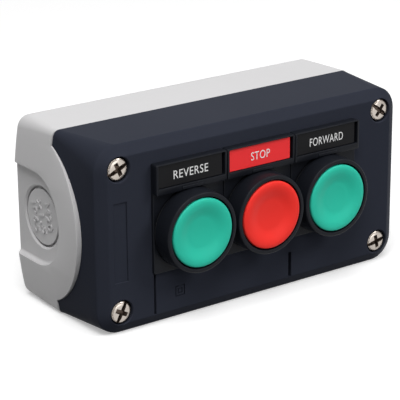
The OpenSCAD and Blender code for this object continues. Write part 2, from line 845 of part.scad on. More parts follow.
// Plunger: guided in the housing's top, kept in by a flange. The closing kind carries a
// spring seat and a collar under the bridge, the opening kind a thick nose above the bridge.
module contact_plunger(opens) {
    seat_d = opens ? open_seat_d : close_seat_d;
    collar_top_d = close_bridge_d - contact_gap;
    color("#e8e6e0") turned() {
        polygon([[0, pin_end_d], [pin_r, pin_end_d], [pin_r, seat_d], [plunger_r, seat_d],
            [plunger_r, plunger_flange_d], [plunger_flange_r, plunger_flange_d],
            [plunger_flange_r, plunger_flange_d + plunger_flange_t],
            [plunger_r, plunger_flange_d + plunger_flange_t],
            [plunger_r, plunger_top_d - plunger_chamfer],
            [plunger_r - plunger_chamfer, plunger_top_d], [0, plunger_top_d]]);
        if (!opens) translate([0, collar_top_d - collar_t]) square([collar_r, collar_t]);
    }
}

// Contact bridge with a tip at each end
module contact_bridge(opens) {
    plate_d = opens ? open_bridge_d : close_bridge_d;
    tip_d = opens ? plate_d + bridge_t : plate_d - tip_t;
    color("#c98a4b") {
        layer(plate_d, plate_d + bridge_t) difference() {
            square([bridge_w, bridge_l], center = true);
            circle(bridge_hole_r);
        }
        for (s = [-1, 1]) layer(tip_d, tip_d + tip_t) translate([0, s * tip_z]) circle(tip_r);
    }
}

// Terminals: a tongue with a contact tip, a riser and a tab under the terminal screw
module contact_terminals(opens) {
    tongue_d = opens ? open_tip_d + tip_t : close_tip_d - tip_t - terminal_t;
    tip_d = opens ? open_tip_d : close_tip_d - tip_t;
    tab_end_z = 0.5 * block_cavity_l - 2 * shelf_gap;
    color("#d9b45a") for (s = [0, 1]) mirror([0, 0, s]) difference() {
        union() {
            layer(tongue_d, tongue_d + terminal_t)
                translate([-0.5 * terminal_w, plate_from_z])
                    square([terminal_w, riser_z + terminal_t - plate_from_z]);
            layer(tongue_d, shelf_d + terminal_t)
                translate([-0.5 * terminal_w, riser_z]) square([terminal_w, terminal_t]);
            layer(shelf_d, shelf_d + terminal_t)
                translate([-0.5 * terminal_w, riser_z]) square([terminal_w, tab_end_z - riser_z]);
            layer(tip_d, tip_d + tip_t) translate([0, tip_z]) circle(tip_r);
        }
        layer(shelf_d - over, shelf_d + 2 * over)
            translate([0, terminal_z]) circle(terminal_screw_r + screw_gap);
    }
}

module terminal_screws() {
    top_d = shelf_d + terminal_t + terminal_head_h;
    color("#b8b8b4") for (s = [-1, 1]) translate([0, 0, s * terminal_z]) difference() {
        union() {
            layer(shelf_d - terminal_screw_l, shelf_d + terminal_t) circle(terminal_screw_r);
            layer(shelf_d + terminal_t, top_d) circle(terminal_head_r);
        }
        layer(top_d - 0.5 * terminal_head_h, top_d + over)
            square([2 * terminal_head_r + over, 0.3 * terminal_head_r], center = true);
    }
}

// Compression spring on the button's axis between two depths, swept as one tube. Its ends lie
// flat: the pitch grows from nothing at either end to its full value in the middle.
module coil_spring(mean_r, wire_r, from_d, to_d, turns) {
    wire_sides = 8;
    turn_steps = 16;
    steps = turns * turn_steps;
    rise = to_d - from_d - 2 * wire_r;
    points = [for (i = [0:steps]) for (k = [0:wire_sides - 1])
        let (share = i / steps,
             climb = share - 0.5 * sin(360 * share) / (2 * PI),
             around = 360 * turns * share,
             out = mean_r + wire_r * cos(360 * k / wire_sides),
             up = from_d + wire_r + rise * climb + wire_r * sin(360 * k / wire_sides))
        [out * cos(around), out * sin(around), up]];
    sides = [for (i = [0:steps - 1]) for (k = [0:wire_sides - 1])
        let (a = i * wire_sides + k,
             b = i * wire_sides + (k + 1) % wire_sides)
        [a, a + wire_sides, b + wire_sides, b]];
    first_end = [for (k = [0:wire_sides - 1]) k];
    last_end = [for (k = [wire_sides - 1:-1:0]) steps * wire_sides + k];
    rotate([90, 0, 0]) polyhedron(points, concat(sides, [first_end, last_end]));
}

module return_spring() {
    color("#b0b4b8") coil_spring(return_mean_r, return_wire_r, flange_d + seat_gap,
                                 web_d - seat_gap, return_turns);
}

module contact_spring(opens) {
    low_d = opens ? block_floor_d : close_bridge_d + bridge_t;
    high_d = opens ? open_bridge_d : close_seat_d;
    color("#b0b4b8") coil_spring(contact_mean_r, contact_wire_r, low_d + seat_gap,
                                 high_d - seat_gap, contact_turns);
}

cap_colours = ["#2fa98c", "#e8402f", "#2fa98c"];
legend_colours = ["#212123", "#e0383a", "#212123"];

base_box();
cover();
cover_seal();
cover_screws();
screw_sealing_rings();
for (i = [0:2]) translate([button_xs[i], 0, 0]) {
    name = BUTTONS[i];
    opens = name == "stop";
    head_bezel();
    button_cap(cap_colours[i]);
    push_sleeve();
    return_spring();
    lip_seal();
    flange_gasket();
    legend_holder();
    legend_plate(legend_colours[i]);
    fixing_nut();
    contact_housing();
    contact_floor();
    contact_plunger(opens);
    contact_bridge(opens);
    contact_spring(opens);
    contact_terminals(opens);
    terminal_screws();
}
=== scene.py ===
"""Looks of a three-button control station: a grey base, a dark cover and three round heads.

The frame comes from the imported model. Sizes below are in millimetres, in the model's own axes:
x along the box, z up, and a depth d measured from the wall towards the buttons (y = -d).
"""

import math

import bmesh
import bpy
from mathutils import Matrix, Vector


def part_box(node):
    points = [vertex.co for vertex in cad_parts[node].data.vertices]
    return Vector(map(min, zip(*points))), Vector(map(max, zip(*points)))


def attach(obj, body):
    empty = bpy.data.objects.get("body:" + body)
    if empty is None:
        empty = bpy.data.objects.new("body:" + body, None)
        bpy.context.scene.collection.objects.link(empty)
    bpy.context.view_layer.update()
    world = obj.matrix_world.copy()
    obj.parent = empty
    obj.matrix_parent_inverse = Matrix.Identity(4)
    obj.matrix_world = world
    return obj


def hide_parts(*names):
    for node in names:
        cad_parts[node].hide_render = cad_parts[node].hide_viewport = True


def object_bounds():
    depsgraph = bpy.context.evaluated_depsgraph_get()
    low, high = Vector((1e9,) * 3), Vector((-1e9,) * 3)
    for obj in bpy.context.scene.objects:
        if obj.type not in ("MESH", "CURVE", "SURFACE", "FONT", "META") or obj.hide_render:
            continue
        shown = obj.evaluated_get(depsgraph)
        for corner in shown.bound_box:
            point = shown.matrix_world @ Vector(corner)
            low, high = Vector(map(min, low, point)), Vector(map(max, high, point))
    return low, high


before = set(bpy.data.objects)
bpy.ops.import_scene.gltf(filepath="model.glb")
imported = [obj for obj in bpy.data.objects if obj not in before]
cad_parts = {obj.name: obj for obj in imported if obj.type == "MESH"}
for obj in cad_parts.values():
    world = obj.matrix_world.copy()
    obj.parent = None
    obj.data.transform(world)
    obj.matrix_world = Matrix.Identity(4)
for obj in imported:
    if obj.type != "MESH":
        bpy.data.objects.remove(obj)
cad_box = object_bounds()

MM = 0.001
BUTTONS = ("reverse", "stop", "forward")

# Sizes read from the frame
BASE_LOW, BASE_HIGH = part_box("base_box")
COVER_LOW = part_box("cover")[0]
HALF_L = BASE_HIGH.x / MM
HALF_H = BASE_HIGH.z / MM
ARCH_TOP = -BASE_LOW.y / MM
FRONT = -COVER_LOW.y / MM
BUTTON_X = {}
for name in BUTTONS:
    low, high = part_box(name + "_button_cap")
    BUTTON_X[name] = (low.x + high.x) / 2 / MM
SCREW_LOW, SCREW_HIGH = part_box("cover_screws")

# How far a cutting tool runs past what it cuts, and the small gap of parts that fit in another
OVER = 2.0
FIT_GAP = 0.05

# Base
JOINT = 25.2
END_CROWN = 3.4
CROWN_R = (END_CROWN ** 2 + HALF_H ** 2) / (2 * END_CROWN)
WALL = 2.6
BASE_CORNER_R = 2.6
BACK_CORNER_R = 5.0
BACK_EDGE_R = 3.0
ARCH_R = 31.3
ARCH_D = ARCH_TOP - ARCH_R
ARCH_GAP = 0.15
RIM_SOFT = 0.5
BASE_CAVITY_CORNER_R = 1.5
INNER_X = HALF_L - END_CROWN - WALL
INNER_Z = HALF_H - WALL

# Recess and closed cable entry in each end
RECESS_R = 17.3
RECESS_D = 15.0
RECESS_X = HALF_L - 3.0
RECESS_SOFT = 1.0
RECESS_LIP_SOFT = 0.7
ENTRY_D = 16.0
ENTRY_R = 10.25
ENTRY_GROOVE = 0.85
ENTRY_CHAMFER_R = 11.8
ENTRY_SINK = 0.5
ENTRY_GROOVE_X = INNER_X + 0.8
ENTRY_FACE_X = RECESS_X - 0.35
ENTRY_EDGE = 0.15
ENTRY_WORDS = (("M20", 4.7, 10.0), ("x1.5", 0.0, 12.5), ("IP65", -4.7, 11.0))
ENTRY_WORD_H = 3.3
ENTRY_WORD_T = 1.0
ENTRY_WORD_TILT = -76

# Fixing holes in the back
FIX_X = 49.0
FIX_Z = 27.0
FIX_R = 2.15

# Cover
COVER_X = HALF_L - 0.4
BEVEL_D = 2.6
BEVEL_X = 4.05
BEVEL_Z = 3.8
END_DRAFT = 2.15
COVER_CORNER_R = 9.0
FRONT_CORNER_R = 5.1
BEVEL_SOFT = 0.45
FRONT_SOFT = 0.35
COVER_CAVITY_CORNER_R = 6.0
PANEL = FRONT - WALL
FLAT_LOW = -HALF_H + BEVEL_Z

# Sunk lines and the sunk field in the cover's front: x0, x1, z0, z1, depth
SLOTS = {
    "left_slot": (-44.4, -43.5, FLAT_LOW + 0.2, -14.6, 1.2),
    "right_slot": (15.0, 16.3, FLAT_LOW + 0.2, -20.5, 1.6),
    "sunk_field": (-60.3, -54.9, -14.7, 14.0, 0.4),
}
SLOT_FLARE = 0.1
MARK_X = -33.4
MARK_Z = -23.4
MARK_W = 4.0
MARK_LINE = 0.35
MARK_DEPTH = 0.35

# Cover screws
HEAD_R = 4.1
SCREW_X = SCREW_HIGH.x / MM - HEAD_R
SCREW_Z = SCREW_HIGH.z / MM - HEAD_R
HEAD_TOP = -SCREW_LOW.y / MM
HEAD_H = 2.4
HEAD_SLIM = 0.15
DRIVE_DEPTH = 1.4
CROSS_DEPTH = 1.9
DRIVE_FLARE = 0.12
SCREW_TURN = {(-1, 1): 24, (1, 1): -38, (-1, -1): 62, (1, -1): 12}
SCREW_R = 2.0
SCREW_END = HEAD_TOP - HEAD_H - 38.0
COUNTERBORE_R = 4.5
COUNTERBORE_FLOOR = 50.8
COUNTERBORE_FLARE = 0.3
COLUMN_R = 5.7
BOSS_R = 4.4

# Heads
TUBE_R = 11.0
PANEL_HOLE_R = 11.25
RIM_R = 14.5
FOOT_R = 14.8
CAVITY_R = 13.0
CAP_R = 12.7
RIM_TOP = FRONT + 9.4
CAP_TOP = FRONT + 10.0
CAP_T = 2.2
CAP_BACK = CAP_TOP - CAP_T
PLATE_TOP = FRONT + 1.0
GASKET_TOP = PLATE_TOP + 0.6
BEZEL_FLOOR = CAP_BACK - 4.6
LIP_SEAT = BEZEL_FLOOR - 1.2
LIP_POCKET_R = 10.85
BORE_R = 9.15
STEM_HOLE_R = 4.5
TUBE_END = FRONT - 19.4
FLANGE = TUBE_END + 1.5
CAP_GAP = 0.25
CAP_EDGE_R = 0.7
CAP_DISH = 1.6
CREST_SHARE = 0.88
BOTTOM_SHARE = 0.38
SLOPE_SHARE = 0.82

# Legend holders
HOLDER_W = 29.8
HOLDER_BELOW = 14.6
HOLDER_ABOVE = 25.5
FRAME_FROM = 14.5
FRAME_TOP = FRONT + 3.4
LEGEND_L = 27.0
LEGEND_H = 8.0
LEGEND_Z = 20.9
LEGEND_TOP = FRAME_TOP - 0.6
LEGEND_SHIFT = -0.4
LEGEND_GAP = 0.1
LEGEND_POCKET_L = LEGEND_L + 1.0
LETTER_H = 3.0
LETTER_T = 0.06
WORD_WIDTH = {"reverse": 14.5, "stop": 8.3, "forward": 15.4}
WORD_SHIFT_X = -0.2
WORD_SHIFT_Z = -0.1
PLATE_SOFT = 0.25
FRAME_SOFT = 0.45
TAB_HALF_W = 4.2
TAB_Z = (15.0, 16.1)
TAB_H = 0.4

# Radius of the small disc that closes a turned solid on its axis
TIP_R = 0.15

# A flat face of more than this many square millimetres keeps its own normal
FLAT_AREA = 300.0

# Vertices nearer than this, in metres, become one
MERGE = 1e-7


def point(x, d, z):
    """A place in millimetres, with its depth from the wall, as a vector in metres."""
    return Vector((x * MM, -d * MM, z * MM))


def new_object(name, data):
    """Links a new object for a mesh, curve, camera or light."""
    obj = bpy.data.objects.new(name, data)
    bpy.context.scene.collection.objects.link(obj)
    return obj


def object_from_bmesh(name, bm):
    """Turns a bmesh into an object with its normals facing out."""
    bmesh.ops.remove_doubles(bm, verts=bm.verts, dist=MERGE)
    bmesh.ops.recalc_face_normals(bm, faces=bm.faces)
    mesh = bpy.data.meshes.new(name)
    bm.to_mesh(mesh)
    bm.free()
    return new_object(name, mesh)


def loft(name, rings, closed=False):
    """A solid through closed rings of equal point counts, capped at both ends or closed on itself."""
    bm = bmesh.new()
    rows = [[bm.verts.new(p) for p in ring] for ring in rings]
    count = len(rows[0])
    pairs = list(zip(rows, rows[1:]))
    if closed:
        pairs.append((rows[-1], rows[0]))
    for a, b in pairs:
        for i in range(count):
            j = (i + 1) % count
            bm.faces.new((a[i], a[j], b[j], b[i]))
    if not closed:
        bm.faces.new(rows[0])
        bm.faces.new(rows[-1])
    return object_from_bmesh(name, bm)


def evaluated_mesh(obj):
    """The object's mesh with its modifiers applied."""
    graph = bpy.context.evaluated_depsgraph_get()
    return bpy.data.meshes.new_from_object(obj.evaluated_get(graph))


def boolean(obj, tool, operation):
    """Applies one exact boolean to obj and removes the tool."""
    modifier = obj.modifiers.new(operation.lower(), "BOOLEAN")
    modifier.operation = operation
    modifier.solver = "EXACT"
    modifier.object = tool
    mesh = evaluated_mesh(obj)
    obj.modifiers.clear()
    bm = bmesh.new()
    bm.from_mesh(mesh)
    bmesh.ops.recalc_face_normals(bm, faces=bm.faces)
    bm.to_mesh(mesh)
    bm.free()
    old = obj.data
    obj.data = mesh
    bpy.data.meshes.remove(old)
    bpy.data.objects.remove(tool)
    return obj


def cut(obj, *tools):
    """Takes each tool away from obj."""
    for tool in tools:
        boolean(obj, tool, "DIFFERENCE")
    return obj


def add(obj, *tools):
    """Fuses each tool with obj."""
    for tool in tools:
        boolean(obj, tool, "UNION")
    return obj


def join(obj, *others):
    """Puts other meshes into obj as loose solids of the same piece."""
    bm = bmesh.new()
    bm.from_mesh(obj.data)
    for other in others:
        bm.from_mesh(other.data)
        bpy.data.objects.remove(other)
    bm.to_mesh(obj.data)
    bm.free()
    return obj


def soften_edges(obj, wanted, width, segments=3):
    """Rounds the edges for which wanted(a, b) is true. Both ends come in millimetres as (x, d, z)."""
    bm = bmesh.new()
    bm.from_mesh(obj.data)
    bmesh.ops.remove_doubles(bm, verts=bm.verts, dist=10 * MERGE)
    sharp = math.radians(20)

    def place(v):
        return v.co.x / MM, -v.co.y / MM, v.co.z / MM

    edges = [e for e in bm.edges
             if e.is_manifold and e.calc_face_angle(0) > sharp
             and wanted(place(e.verts[0]), place(e.verts[1]))]
    bmesh.ops.bevel(bm, geom=edges, offset=width * MM, segments=segments, profile=0.5,
                    affect="EDGES", clamp_overlap=True)
    bmesh.ops.remove_doubles(bm, verts=bm.verts, dist=MERGE)
    bm.to_mesh(obj.data)
    bm.free()
    return obj


def arc(centre, radius, start, end, steps):
    """Points on an arc in the plane, with angles in degrees."""
    turn = [math.radians(start + (end - start) * i / steps) for i in range(steps + 1)]
    return [(centre[0] + radius * math.cos(t), centre[1] + radius * math.sin(t)) for t in turn]


def outline(reach, half_z, corner_r, crown_r=None, end_steps=10, corner_steps=8, long_steps=6):
    """Closed front outline, anticlockwise from the middle of the right end, as (x, z) points.

    The ends are straight, or swell out along a circle of radius crown_r that meets the
    corners' arcs smoothly.
    """
    corner_z = half_z - corner_r
    if crown_r is None:
        corner_x, first = reach - corner_r, 0.0
        end = [(reach, corner_z * i / end_steps) for i in range(end_steps)]
    else:
        middle_x = reach - crown_r
        corner_x = middle_x + math.sqrt((crown_r - corner_r) ** 2 - corner_z ** 2)
        first = math.degrees(math.asin(corner_z / (crown_r - corner_r)))
        end = arc((middle_x, 0), crown_r, 0, first, end_steps)[:-1]
    corner = arc((corner_x, corner_z), corner_r, first, 90, corner_steps)
    top = [(corner_x * (1 - i / long_steps), half_z) for i in range(1, long_steps)]
    quarter = end + corner + top
    left = [(-x, z) for x, z in reversed(quarter[1:])]
    upper = quarter + [(0, half_z)] + left
    lower = [(x, -z) for x, z in reversed(upper[1:])]
    return upper + [(-reach, 0)] + lower


def ring_at(points, d):
    """A closed ring at one depth from (x, z) points."""
    return [point(x, d, z) for x, z in points]


def between(a, b, share):
    """The ring that lies a share of the way from ring a to ring b."""
    return [p.lerp(q, share) for p, q in zip(a, b)]


def rounded(before, at, after, radius, steps=3):
    """Rings that replace ring at by a small round between its two neighbours."""
    rings = []
    for i in range(steps + 1):
        t = i / steps
        ring = []
        for p, q, r in zip(before, at, after):
            a = q + (p - q).normalized() * radius * MM
            b = q + (r - q).normalized() * radius * MM
            ring.append(a * (1 - t) ** 2 + q * 2 * t * (1 - t) + b * t ** 2)
        rings.append(ring)
    return rings


def prism(name, points, d0, d1):
    """A flat front outline drawn out from depth d0 to depth d1."""
    return loft(name, [ring_at(points, d0), ring_at(points, d1)])


def turned(name, profile, x, z, segments, hollow=False):
    """A solid of revolution on an axis along the depth, through (radius, depth) points in order.

    Unless it is hollow, a small flat disc closes it at the first and last point.
    """
    turns = [2 * math.pi * i / segments for i in range(segments)]
    rings = [[point(x + r * math.cos(t), d, z + r * math.sin(t)) for t in turns]
             for r, d in profile]
    return loft(name, rings, closed=hollow)


def end_turned(name, profile, side, d, segments=96):
    """A solid of revolution on an axis along x, at one end, through (radius, x) points."""
    turns = [2 * math.pi * i / segments for i in range(segments)]
    rings = [[point(side * x, d + r * math.cos(t), r * math.sin(t)) for t in turns]
             for r, x in profile]
    return loft(name, rings)


def disc_tool(name, x, z, radius, d0, d1, segments=64):
    """A plain round tool on an axis along the depth."""
    points = [(x + px, z + pz) for px, pz in arc((0, 0), radius, 0, 360, segments)[:-1]]
    return prism(name, points, d0, d1)


def rectangle(x0, x1, z0, z1):
    """Corners of an upright rectangle."""
    return [(x0, z0), (x1, z0), (x1, z1), (x0, z1)]


def flared_slot(name, x0, x1, z0, z1, floor, flare):
    """Tool for a slot in the front with a small flare at its mouth."""
    wide = rectangle(x0 - flare, x1 + flare, z0 - flare, z1 + flare)
    wider = rectangle(x0 - 2 * flare, x1 + 2 * flare, z0 - 2 * flare, z1 + 2 * flare)
    narrow = rectangle(x0, x1, z0, z1)
    return loft(name, [ring_at(narrow, floor), ring_at(narrow, FRONT - flare),
                       ring_at(wide, FRONT), ring_at(wider, FRONT + flare)])


def shade(obj, crease):
    """Smooth shading with creases at sharp edges and round every large flat face.

    A large flat face keeps its own normal, so that the small round next to it doesn't tint it.
    """
    bm = bmesh.new()
    bm.from_mesh(obj.data)
    areas = {}
    crisp, level = math.radians(crease), math.radians(0.5)

    def plane(face):
        offset = face.normal.dot(face.verts[0].co)
        return tuple(round(c, 2) for c in face.normal) + (round(offset, 5),)

    for face in bm.faces:
        face.smooth = True
        areas[plane(face)] = areas.get(plane(face), 0.0) + face.calc_area() / MM ** 2
    for edge in bm.edges:
        if len(edge.link_faces) != 2:
            edge.smooth = False
            continue
        angle = edge.calc_face_angle(0)
        flat = any(areas[plane(face)] > FLAT_AREA for face in edge.link_faces)
        edge.smooth = angle < crisp and not (flat and angle > level)
    bm.to_mesh(obj.data)
    bm.free()


def clear_stray_faces(obj):
    """Cuts the faces into triangles and takes out those that lie back to back or have no area."""
    bm = bmesh.new()
    bm.from_mesh(obj.data)
    bmesh.ops.remove_doubles(bm, verts=bm.verts, dist=MERGE)
    bmesh.ops.dissolve_degenerate(bm, dist=MERGE, edges=bm.edges)
    bmesh.ops.triangulate(bm, faces=bm.faces)
    bm.verts.index_update()
    groups = {}
    for face in bm.faces:
        groups.setdefault(frozenset(v.index for v in face.verts), []).append(face)
    stray = [face for group in groups.values() if len(group) > 1 for face in group]
    bmesh.ops.delete(bm, geom=stray, context="FACES_ONLY")
    bmesh.ops.delete(bm, geom=[e for e in bm.edges if not e.link_faces], context="EDGES")
    bm.to_mesh(obj.data)
    bm.free()


def dress(obj, material, body, nodes=(), smooth=30):
    """Finishes a piece: smooth shading with crisp edges, its material, body and CAD nodes."""
    obj.data.materials.clear()
    obj.data.materials.append(material)
    clear_stray_faces(obj)
    shade(obj, smooth)
    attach(obj, body)
    if nodes:
        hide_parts(*nodes)
    return obj


# Shader node groups

def new_group(name, inputs, outputs):
    """A shader node group with named sockets, and its input and output nodes."""
    group = bpy.data.node_groups.new(name, "ShaderNodeTree")
    for socket, kind, value in inputs:
        made = group.interface.new_socket(name=socket, in_out="INPUT", socket_type=kind)
        if value is not None:
            made.default_value = value
    for socket, kind in outputs:
        group.interface.new_socket(name=socket, in_out="OUTPUT", socket_type=kind)
    return group, group.nodes.new("NodeGroupInput"), group.nodes.new("NodeGroupOutput")


def noise(tree, scale, detail, vector, roughness=0.5):
    """A noise texture on the given coordinates."""
    node = tree.nodes.new("ShaderNodeTexNoise")
    node.inputs["Detail"].default_value = detail
    node.inputs["Roughness"].default_value = roughness
    tree.links.new(vector, node.inputs["Vector"])
    if isinstance(scale, (int, float)):
        node.inputs["Scale"].default_value = scale
    else:
        tree.links.new(scale, node.inputs["Scale"])
    return node.outputs["Fac"]


def maths(tree, operation, a, b=None, clamp=False):
    """A math node on sockets or numbers."""
    node = tree.nodes.new("ShaderNodeMath")
    node.operation = operation
    node.use_clamp = clamp
    for socket, value in zip(node.inputs, (a, b)):
        if value is None:
            continue
        if isinstance(value, (int, float)):
            socket.default_value = value
        else:
            tree.links.new(value, socket)
    return node.outputs[0]


def spread(tree, value, low, high):
    """Maps 0 to 1 onto low to high."""
    node = tree.nodes.new("ShaderNodeMapRange")
    tree.links.new(value, node.inputs["Value"])
    for socket, end in (("To Min", low), ("To Max", high)):
        if isinstance(end, (int, float)):
            node.inputs[socket].default_value = end
        else:
            tree.links.new(end, node.inputs[socket])
    return node.outputs["Result"]


def mixed_colour(tree, factor, a, b):
    """Mixes two colours by a factor."""
    node = tree.nodes.new("ShaderNodeMix")
    node.data_type = "RGBA"
    tree.links.new(factor, node.inputs["Factor"])
    for socket, value in ((node.inputs[6], a), (node.inputs[7], b)):
        if isinstance(value, tuple):
            socket.default_value = value
        else:
            tree.links.new(value, socket)
    return node.outputs[2]


def moulded_group():
    """Moulded plastic: slow drift of tone, fine spark grain and a slightly uneven gloss."""
    group, ins, outs = new_group(
        "moulded_plastic",
        [("Tone", "NodeSocketColor", (0.5, 0.5, 0.5, 1)),
         ("Second Tone", "NodeSocketColor", (0.5, 0.5, 0.5, 1)),
         ("Grain Scale", "NodeSocketFloat", 2500.0),
         ("Smoothest", "NodeSocketFloat", 0.3),
         ("Roughest", "NodeSocketFloat", 0.4)],
        [("Color", "NodeSocketColor"), ("Roughness", "NodeSocketFloat"),
         ("Height", "NodeSocketFloat")])
    place = group.nodes.new("ShaderNodeTexCoord").outputs["Object"]
    drift = noise(group, 22.0, 3.0, place)
    speckle = noise(group, 900.0, 2.0, place)
    grain = noise(group, ins.outputs["Grain Scale"], 2.0, place, 0.6)
    tone_share = maths(group, "ADD", maths(group, "MULTIPLY", drift, 0.7),
                       maths(group, "MULTIPLY", speckle, 0.3), clamp=True)
    colour = mixed_colour(group, tone_share, ins.outputs["Tone"], ins.outputs["Second Tone"])
    gloss_share = maths(group, "ADD", maths(group, "MULTIPLY", drift, 0.5),
                        maths(group, "MULTIPLY", grain, 0.5), clamp=True)
    rough = spread(group, gloss_share, ins.outputs["Smoothest"], ins.outputs["Roughest"])
    group.links.new(colour, outs.inputs["Color"])
    group.links.new(rough, outs.inputs["Roughness"])
    group.links.new(grain, outs.inputs["Height"])
    return group


def metal_group():
    """Plated or drawn metal: fine brushed lines, faint tarnish and uneven gloss."""
    group, ins, outs = new_group(
        "plated_metal",
        [("Tone", "NodeSocketColor", (0.6, 0.6, 0.6, 1)),
         ("Tarnish", "NodeSocketColor", (0.4, 0.38, 0.35, 1)),
         ("Smoothest", "NodeSocketFloat", 0.15),
         ("Roughest", "NodeSocketFloat", 0.35)],
        [("Color", "NodeSocketColor"), ("Roughness", "NodeSocketFloat"),
         ("Height", "NodeSocketFloat")])
    place = group.nodes.new("ShaderNodeTexCoord").outputs["Object"]
    stretch = group.nodes.new("ShaderNodeMapping")
    stretch.inputs["Scale"].default_value = (1.0, 1.0, 9.0)
    group.links.new(place, stretch.inputs["Vector"])
    lines = noise(group, 900.0, 3.0, stretch.outputs["Vector"])
    patches = noise(group, 380.0, 4.0, place)
    colour = mixed_colour(group, maths(group, "MULTIPLY", patches, 0.5),
                          ins.outputs["Tone"], ins.outputs["Tarnish"])
    rough = spread(group, lines, ins.outputs["Smoothest"], ins.outputs["Roughest"])
    group.links.new(colour, outs.inputs["Color"])
    group.links.new(rough, outs.inputs["Roughness"])
    group.links.new(lines, outs.inputs["Height"])
    return group


MOULDED = moulded_group()
METAL = metal_group()


def colour_of(red, green, blue):
    """A linear colour from screen values of 0 to 255."""
    def linear(c):
        c /= 255
        return c / 12.92 if c <= 0.04045 else ((c + 0.055) / 1.055) ** 2.4
    return linear(red), linear(green), linear(blue), 1.0


def new_material(name):
    """A material with its shader node, ready for links."""
    material = bpy.data.materials.new(name)
    material.use_nodes = True
    tree = material.node_tree
    return material, tree, tree.nodes["Principled BSDF"]


def place_group(tree, group, values):
    """Puts a node group into a material with its own values."""
    node = tree.nodes.new("ShaderNodeGroup")
    node.node_tree = group
    for socket, value in values.items():
        node.inputs[socket].default_value = value
    return node


def link_bump(tree, shader, height, strength, distance):
    """Feeds a height into the shader's normal through a bump node."""
    bump = tree.nodes.new("ShaderNodeBump")
    bump.inputs["Strength"].default_value = strength
    bump.inputs["Distance"].default_value = distance
    tree.links.new(height, bump.inputs["Height"])
    tree.links.new(bump.outputs["Normal"], shader.inputs["Normal"])


def plastic(name, tone, second, smoothest, roughest, grain=2500.0, bump=0.15,
            specular=0.5, subsurface=0.0):
    """A moulded plastic with its two tones, its range of gloss and its grain."""
    material, tree, shader = new_material(name)
    moulded = place_group(tree, MOULDED, {
        "Tone": tone, "Second Tone": second, "Grain Scale": grain,
        "Smoothest": smoothest, "Roughest": roughest})
    tree.links.new(moulded.outputs["Color"], shader.inputs["Base Color"])
    tree.links.new(moulded.outputs["Roughness"], shader.inputs["Roughness"])
    link_bump(tree, shader, moulded.outputs["Height"], bump, 0.00002)
    shader.inputs["Specular IOR Level"].default_value = specular
    if subsurface:
        shader.inputs["Subsurface Weight"].default_value = subsurface
        shader.inputs["Subsurface Scale"].default_value = 0.002
        shader.inputs["Subsurface Radius"].default_value = (1.0, 0.6, 0.5)
    return material


def metal(name, tone, tarnish, smoothest, roughest, bump=0.1):
    """A bright or plated metal."""
    material, tree, shader = new_material(name)
    plated = place_group(tree, METAL, {
        "Tone": tone, "Tarnish": tarnish, "Smoothest": smoothest, "Roughest": roughest})
    tree.links.new(plated.outputs["Color"], shader.inputs["Base Color"])
    tree.links.new(plated.outputs["Roughness"], shader.inputs["Roughness"])
    shader.inputs["Metallic"].default_value = 1.0
    link_bump(tree, shader, plated.outputs["Height"], bump, 0.00001)
    return material


GREY = plastic("light_grey_moulding", colour_of(207, 206, 207), colour_of(201, 200, 201),
               0.32, 0.42, bump=0.12, specular=0.4)
DARK = plastic("dark_grey_moulding", colour_of(51, 54, 64), colour_of(45, 48, 58),
               0.34, 0.44, bump=0.12, specular=0.006)
BLACK = plastic("black_moulding", colour_of(25, 27, 33), colour_of(21, 23, 28),
                0.28, 0.4, bump=0.1, specular=0.09)
GREEN_CAP = plastic("green_cap_moulding", colour_of(50, 202, 174), colour_of(46, 194, 167),
                    0.36, 0.44, bump=0.04, specular=0.12, subsurface=0.1)
RED_CAP = plastic("red_cap_moulding", colour_of(255, 58, 50), colour_of(251, 53, 46),
                  0.36, 0.44, bump=0.04, specular=0.12, subsurface=0.1)
BLACK_LEGEND = plastic("black_legend_lacquer", colour_of(22, 22, 24), colour_of(18, 18, 20),
                       0.34, 0.46, bump=0.08, specular=0.08)
RED_LEGEND = plastic("red_legend_lacquer", colour_of(249, 53, 56), colour_of(243, 49, 53),
                     0.34, 0.46, bump=0.08, specular=0.2)
WHITE_INK = plastic("white_ink", colour_of(240, 240, 240), colour_of(228, 228, 228),
                    0.5, 0.6, bump=0.05)
RUBBER = plastic("black_rubber", colour_of(24, 24, 24), colour_of(18, 18, 18),
                 0.6, 0.8, grain=1500.0, bump=0.3)
WHITE_PLASTIC = plastic("natural_white_moulding", colour_of(228, 227, 220),
                        colour_of(220, 218, 210), 0.3, 0.4)
BLUE_PLASTIC = plastic("contact_block_moulding", colour_of(46, 92, 116), colour_of(40, 84, 106),
                       0.35, 0.5)
NICKEL = metal("nickel_plate", colour_of(186, 178, 170), colour_of(140, 132, 124), 0.2, 0.36)
# Darker nickel for the faces inside the screws' drive recesses: painted shade standing in for the
# shadow in the recess.
NICKEL_PAINTED_SHADE = metal("nickel_with_painted_shade_in_the_drive_recess", colour_of(98, 86, 78), colour_of(60, 52, 46),
                      0.4, 0.6)
SPRING_STEEL = metal("drawn_spring_wire", colour_of(190, 192, 196), colour_of(150, 150, 152),
                     0.22, 0.36)
BRASS = metal("bright_brass", colour_of(222, 190, 116), colour_of(180, 140, 80), 0.2, 0.36)
COPPER_ALLOY = metal("contact_copper", colour_of(214, 150, 104), colour_of(160, 100, 66),
                     0.2, 0.36)


def arch_polygon(radius, far, steps=72):
    """Side outline (depth, z) of the space in front of the joint, outside the arch."""
    reach = math.degrees(math.acos((JOINT - ARCH_D) / radius))
    edge = arc((ARCH_D, 0), radius, reach, -reach, steps)
    wide = HALF_H + 3 * OVER
    return [(JOINT, -wide), (far, -wide), (far, wide), (JOINT, wide)] + edge


def side_prism(name, points, x0, x1):
    """A side outline of (depth, z) points drawn out along x."""
    return loft(name, [[point(x, d, z) for d, z in points] for x in (x0, x1)])


